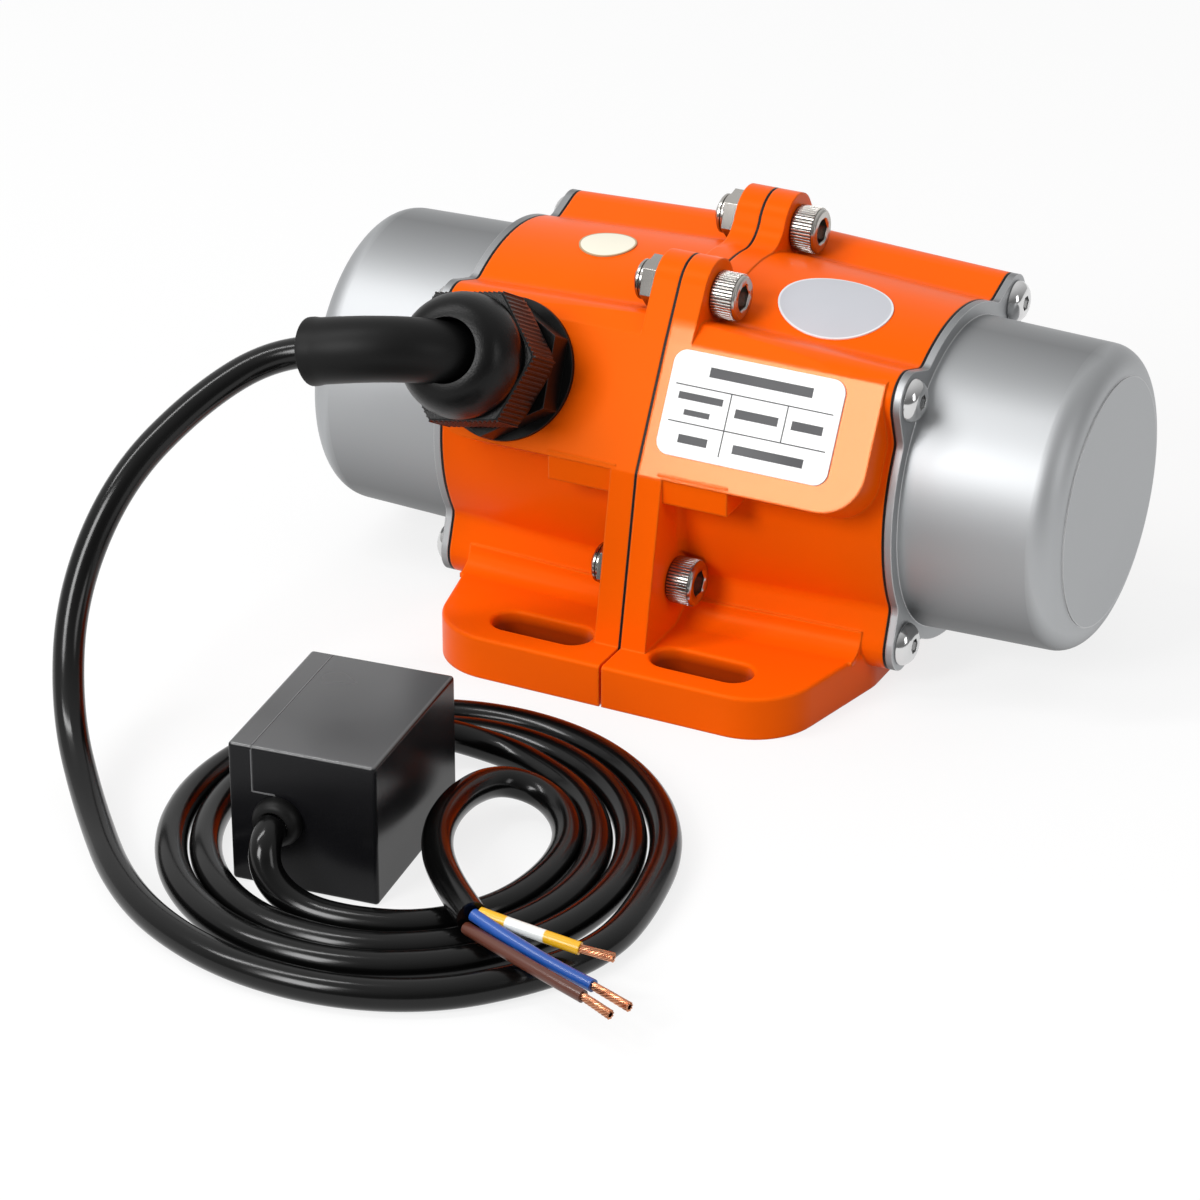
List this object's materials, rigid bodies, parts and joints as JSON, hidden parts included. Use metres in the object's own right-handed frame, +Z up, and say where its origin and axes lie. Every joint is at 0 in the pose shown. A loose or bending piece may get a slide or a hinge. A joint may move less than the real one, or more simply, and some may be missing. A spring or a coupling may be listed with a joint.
{
  "type": "vibration motor",
  "caption": "Foot-mounted electric vibration motor with eccentric shaft weights under screwed end caps, cable gland, coiled lead and a separate capacitor box with cut wire ends",
  "frame": {"origin": "middle of the foot face, in the parting plane", "axes": "+X along the shaft toward the side with the flange screw heads, +Y to the rear, away from the sloping pad, +Z up from the foot face"},
  "size_m": [0.1835, 0.2616, 0.0871],
  "materials": {
    "orange_paint": "semi-gloss orange paint on a casting",
    "aluminium_cap": "satin drawn sheet",
    "bright_screws": "polished stainless",
    "zinc_bolts": "bright zinc",
    "black_rubber": "matte",
    "black_plastic": "satin moulded nylon",
    "box_plastic": "satin moulded",
    "capacitor_shell": "plain",
    "black_cable": "glossy sheath",
    "pale_plate": "satin plate",
    "grey_sticker": "plain sticker",
    "cream_sticker": "plain sticker",
    "core_steel": "laminated",
    "rotor_aluminium": "die cast",
    "copper_winding": "enamelled copper",
    "copper_strand": "bare copper",
    "bearing_steel": "ground",
    "cage_plastic": "plain",
    "shaft_steel": "turned",
    "weight_steel": "sawn and oiled",
    "yellow_green_wire": "yellow with a green stripe",
    "blue_wire": "plain",
    "brown_wire": "plain"
  },
  "bodies": {
    "housing": {"bearing_outer_ring_left": "bearing_steel", "bearing_outer_ring_right": "bearing_steel", "cable_sleeve": "black_rubber", "capacitor": "capacitor_shell", "capacitor_case": "box_plastic", "capacitor_lid": "box_plastic", "data_plate": "pale_plate", "end_cap_gasket_left": "black_rubber", "end_cap_gasket_right": "black_rubber", "end_cap_left": "aluminium_cap", "end_cap_right": "aluminium_cap", "end_cap_screws_left": "bright_screws", "end_cap_screws_right": "bright_screws", "flange_bolts": "zinc_bolts", "flange_nuts": "zinc_bolts", "gland_body": "black_plastic", "gland_dome_nut": "black_plastic", "gland_gasket": "black_rubber", "gland_seal": "black_rubber", "grommet_front": "black_rubber", "grommet_rear": "black_rubber", "housing_left": "orange_paint", "housing_right": "orange_paint", "mains_lead": "black_cable", "motor_lead": "black_cable", "motor_lead_coil": "black_cable", "motor_lead_tail": "black_cable", "oval_sticker_left": "cream_sticker", "oval_sticker_right": "grey_sticker", "parting_seal": "black_rubber", "preload_washer": "bearing_steel", "stator_core": "core_steel", "stator_windings": "copper_winding", "wire_blue": "blue_wire", "wire_brown": "brown_wire", "wire_strands": "copper_strand", "wire_yellow": "yellow_green_wire"},
    "rotor": {"shaft": "shaft_steel", "rotor_core": "core_steel", "rotor_end_rings": "rotor_aluminium", "bearing_inner_ring_left": "bearing_steel", "bearing_inner_ring_right": "bearing_steel", "weight_spacers": "shaft_steel", "weight_keys": "shaft_steel", "circlips": "shaft_steel", "inner_weight_left": "weight_steel", "inner_weight_right": "weight_steel"},
    "outer_weight_left": {"outer_weight_left": "weight_steel", "weight_clamp_screw_left": "zinc_bolts"},
    "outer_weight_right": {"outer_weight_right": "weight_steel", "weight_clamp_screw_right": "zinc_bolts"},
    "ball_cage_left": {"bearing_balls_left": "bearing_steel", "bearing_cage_left": "cage_plastic"},
    "ball_cage_right": {"bearing_balls_right": "bearing_steel", "bearing_cage_right": "cage_plastic"}
  },
  "joints": [
    {"name": "rotor_spin", "type": "hinge", "parent": "housing", "child": "rotor", "pos_m": [0, 0, 0.0395], "axis": [1, 0, 0], "continuous": true},
    {"name": "cage_left_spin", "type": "hinge", "parent": "housing", "child": "ball_cage_left", "pos_m": [0, 0, 0.0395], "axis": [1, 0, 0], "continuous": true},
    {"name": "cage_right_spin", "type": "hinge", "parent": "housing", "child": "ball_cage_right", "pos_m": [0, 0, 0.0395], "axis": [1, 0, 0], "continuous": true},
    {"name": "outer_weight_left_adjust", "type": "hinge", "parent": "rotor", "child": "outer_weight_left", "pos_m": [0, 0, 0.0395], "axis": [1, 0, 0], "range_deg": [0, 180]},
    {"name": "outer_weight_right_adjust", "type": "hinge", "parent": "rotor", "child": "outer_weight_right", "pos_m": [0, 0, 0.0395], "axis": [1, 0, 0], "range_deg": [0, 180]}
  ],
  "couplings": [
    {"joint": "cage_left_spin", "follows": "rotor_spin", "ratio": 0.38636},
    {"joint": "cage_right_spin", "follows": "rotor_spin", "ratio": 0.38636}
  ]
}
